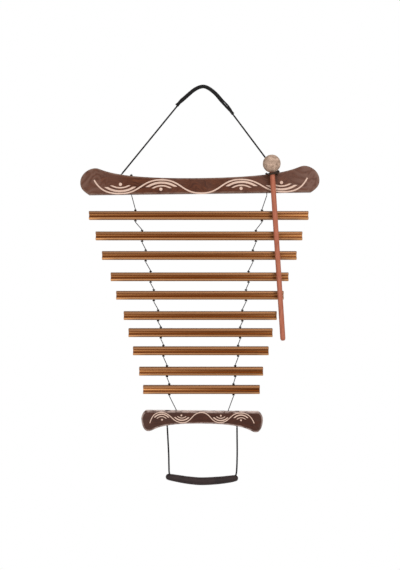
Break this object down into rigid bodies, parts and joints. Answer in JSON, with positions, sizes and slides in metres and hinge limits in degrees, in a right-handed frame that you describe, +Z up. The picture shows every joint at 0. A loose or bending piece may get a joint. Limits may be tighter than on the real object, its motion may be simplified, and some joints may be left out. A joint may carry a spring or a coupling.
{
  "type": "meditation chime",
  "caption": "Hanging ladder chime: grooved metal bars of falling length on knotted cords between two shaped wooden crossbars, with a cork mallet, a top grip and a pull handle.",
  "frame": {"origin": "underside of the top grip, where a hook or finger holds the chime, over the middle of the upper crossbar", "axes": "+Z up along the hanging ladder, +X to the right along the bars as seen from the front, +Y to the back"},
  "size_m": [0.3832, 0.0375, 0.6436],
  "materials": {
    "cord": "black braided cord",
    "thin_cord": "dark grey waxed cord",
    "grip_leather": "near-black leather, stitched",
    "handle_leather": "dark brown leather",
    "wood": "oiled dark brown hardwood with worn rounded edges",
    "stick_wood": "reddish dowel, satin",
    "cork": "sanded natural cork",
    "bar_metal": "bronze anodised, satin"
  },
  "bodies": {
    "hanging_loop": {"hanging_cord": "cord", "top_grip": "grip_leather"},
    "crossbar": {"upper_crossbar": "wood", "hanging_cord_end_left": "cord", "hanging_cord_end_right": "cord", "bar_cord_top_left": "thin_cord", "bar_cord_top_right": "thin_cord", "mallet_loop": "cord"},
    "mallet": {"mallet_head": "cork", "mallet_stick": "stick_wood"},
    "bar_1": {"chime_bar_01": "bar_metal", "bar_cord_01_left": "thin_cord", "bar_cord_01_right": "thin_cord"},
    "bar_2": {"chime_bar_02": "bar_metal", "bar_cord_02_left": "thin_cord", "bar_cord_02_right": "thin_cord"},
    "bar_3": {"chime_bar_03": "bar_metal", "bar_cord_03_left": "thin_cord", "bar_cord_03_right": "thin_cord"},
    "bar_4": {"chime_bar_04": "bar_metal", "bar_cord_04_left": "thin_cord", "bar_cord_04_right": "thin_cord"},
    "bar_5": {"chime_bar_05": "bar_metal", "bar_cord_05_left": "thin_cord", "bar_cord_05_right": "thin_cord"},
    "bar_6": {"chime_bar_06": "bar_metal", "bar_cord_06_left": "thin_cord", "bar_cord_06_right": "thin_cord"},
    "bar_7": {"chime_bar_07": "bar_metal", "bar_cord_07_left": "thin_cord", "bar_cord_07_right": "thin_cord"},
    "bar_8": {"chime_bar_08": "bar_metal", "bar_cord_08_left": "thin_cord", "bar_cord_08_right": "thin_cord"},
    "bar_9": {"chime_bar_09": "bar_metal", "bar_cord_09_left": "thin_cord", "bar_cord_09_right": "thin_cord"},
    "bar_10": {"chime_bar_10": "bar_metal", "bar_cord_10_left": "thin_cord", "bar_cord_10_right": "thin_cord"},
    "lower_bar": {"lower_crossbar": "wood", "bar_cord_end_left": "thin_cord", "bar_cord_end_right": "thin_cord", "handle_cord_end_left": "cord", "handle_cord_end_right": "cord"},
    "handle": {"handle_cord": "cord", "handle_grip": "handle_leather"}
  },
  "joints": [
    {"name": "crossbar_swing", "type": "hinge", "parent": "hanging_loop", "child": "crossbar", "pos_m": [-0.0004, 0, -0.13722], "axis": [0.9999, 0, 0.0122], "range_deg": [0, 15]},
    {"name": "mallet_lift", "type": "slide", "parent": "crossbar", "child": "mallet", "axis": [-0.0637, 0, 0.998], "range_m": [0, 0.27]},
    {"name": "bar_1_swing", "type": "hinge", "parent": "crossbar", "child": "bar_1", "pos_m": [-0.0021, 0, -0.17244], "axis": [1, 0, 0], "range_deg": [0, 15]},
    {"name": "bar_2_swing", "type": "hinge", "parent": "bar_1", "child": "bar_2", "pos_m": [-0.00161, 0, -0.21535], "axis": [1, 0, 0], "range_deg": [0, 15]},
    {"name": "bar_3_swing", "type": "hinge", "parent": "bar_2", "child": "bar_3", "pos_m": [-0.00112, 0, -0.24815], "axis": [1, 0, 0], "range_deg": [0, 15]},
    {"name": "bar_4_swing", "type": "hinge", "parent": "bar_3", "child": "bar_4", "pos_m": [-0.00063, 0, -0.27965], "axis": [1, 0, 0], "range_deg": [0, 15]},
    {"name": "bar_5_swing", "type": "hinge", "parent": "bar_4", "child": "bar_5", "pos_m": [-0.00014, 0, -0.31385], "axis": [1, 0, 0], "range_deg": [0, 15]},
    {"name": "bar_6_swing", "type": "hinge", "parent": "bar_5", "child": "bar_6", "pos_m": [0.00034, 0, -0.34355], "axis": [1, 0, 0], "range_deg": [-15, 15]},
    {"name": "bar_7_swing", "type": "hinge", "parent": "bar_6", "child": "bar_7", "pos_m": [0.00083, 0, -0.37615], "axis": [1, 0, 0], "range_deg": [-15, 15]},
    {"name": "bar_8_swing", "type": "hinge", "parent": "bar_7", "child": "bar_8", "pos_m": [0.00132, 0, -0.40355], "axis": [1, 0, 0], "range_deg": [-15, 15]},
    {"name": "bar_9_swing", "type": "hinge", "parent": "bar_8", "child": "bar_9", "pos_m": [0.00181, 0, -0.43275], "axis": [1, 0, 0], "range_deg": [-15, 15]},
    {"name": "bar_10_swing", "type": "hinge", "parent": "bar_9", "child": "bar_10", "pos_m": [0.0023, 0, -0.46555], "axis": [1, 0, 0], "range_deg": [-15, 15]},
    {"name": "lower_crossbar_swing", "type": "hinge", "parent": "bar_10", "child": "lower_bar", "pos_m": [0.0036, 0, -0.49495], "axis": [1, 0, 0], "range_deg": [-15, 15]},
    {"name": "handle_swing", "type": "hinge", "parent": "lower_bar", "child": "handle", "pos_m": [0.0036, 0, -0.54407], "axis": [1, 0, 0], "range_deg": [-75, 75]}
  ]
}
